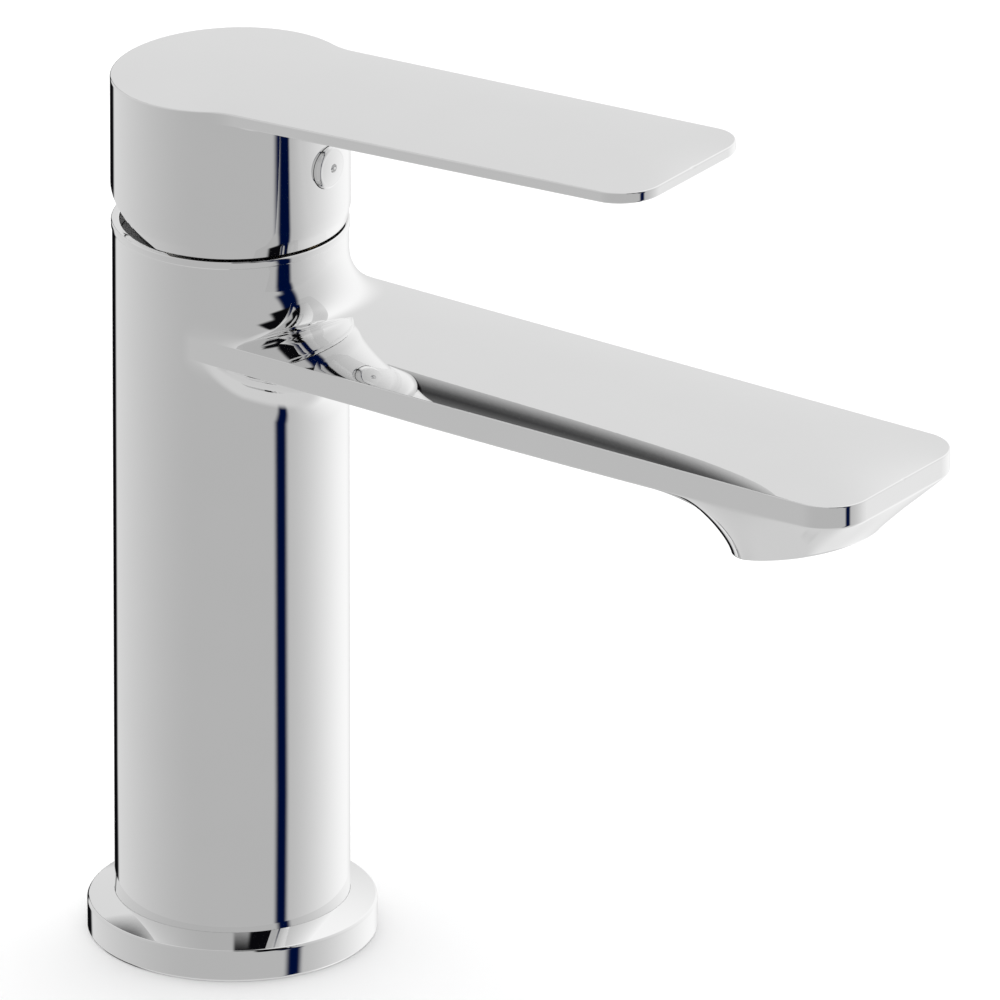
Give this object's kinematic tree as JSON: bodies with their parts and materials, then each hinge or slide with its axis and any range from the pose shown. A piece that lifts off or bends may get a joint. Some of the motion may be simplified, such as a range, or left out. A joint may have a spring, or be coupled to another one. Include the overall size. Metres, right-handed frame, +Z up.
{
  "type": "bathroom mixer faucet",
  "caption": "Deck-mounted basin mixer with a flat rectangular spout and one lever that lifts to open and turns to mix hot and cold.",
  "frame": {"origin": "centre of the round base on the face that rests on the basin", "axes": "+Z up along the column's axis, +X forward along the spout, +Y to the left seen from behind the spout"},
  "size_m": [0.1833, 0.0554, 0.1837],
  "materials": {
    "chrome": "polished chrome plating",
    "rubber": "moulded, matt",
    "brass": "machined",
    "white_plastic": "moulded",
    "grey_plastic": "moulded",
    "black_plastic": "moulded",
    "ceramic": "lapped ceramic",
    "steel": "machined stainless steel"
  },
  "bodies": {
    "body": {"body_casting": "chrome", "base_flange": "chrome", "base_seal": "rubber", "inlet_block": "brass", "cartridge_base": "white_plastic", "port_seals": "rubber", "disc_seals": "rubber", "fixed_ceramic_disc": "ceramic", "cartridge_housing": "white_plastic", "housing_seal": "rubber", "cartridge_nut": "brass", "glide_ring": "black_plastic", "aerator_housing": "chrome", "aerator_screen": "grey_plastic", "aerator_insert": "grey_plastic", "flow_regulator": "white_plastic", "aerator_seal": "rubber"},
    "turret": {"cartridge_turret": "grey_plastic", "stem_pin": "steel"},
    "disc": {"disc_carrier": "grey_plastic", "moving_ceramic_disc": "ceramic"},
    "lever": {"handle": "chrome", "lever_stem": "steel", "grub_screw": "steel", "index_plug": "chrome"}
  },
  "joints": [
    {"name": "temperature_turn", "type": "hinge", "parent": "body", "child": "turret", "pos_m": [0, 0, 0.1555], "axis": [0, 0, 1], "range_deg": [-50, 50]},
    {"name": "lever_lift", "type": "hinge", "parent": "turret", "child": "lever", "pos_m": [0, 0, 0.1555], "axis": [0, -1, 0], "range_deg": [0, 25]},
    {"name": "disc_slide", "type": "slide", "parent": "turret", "child": "disc", "axis": [1, 0, 0], "range_m": [0, 0.008]}
  ],
  "couplings": [
    {"joint": "disc_slide", "follows": "lever_lift", "m_per_rad": 0.01805}
  ]
}
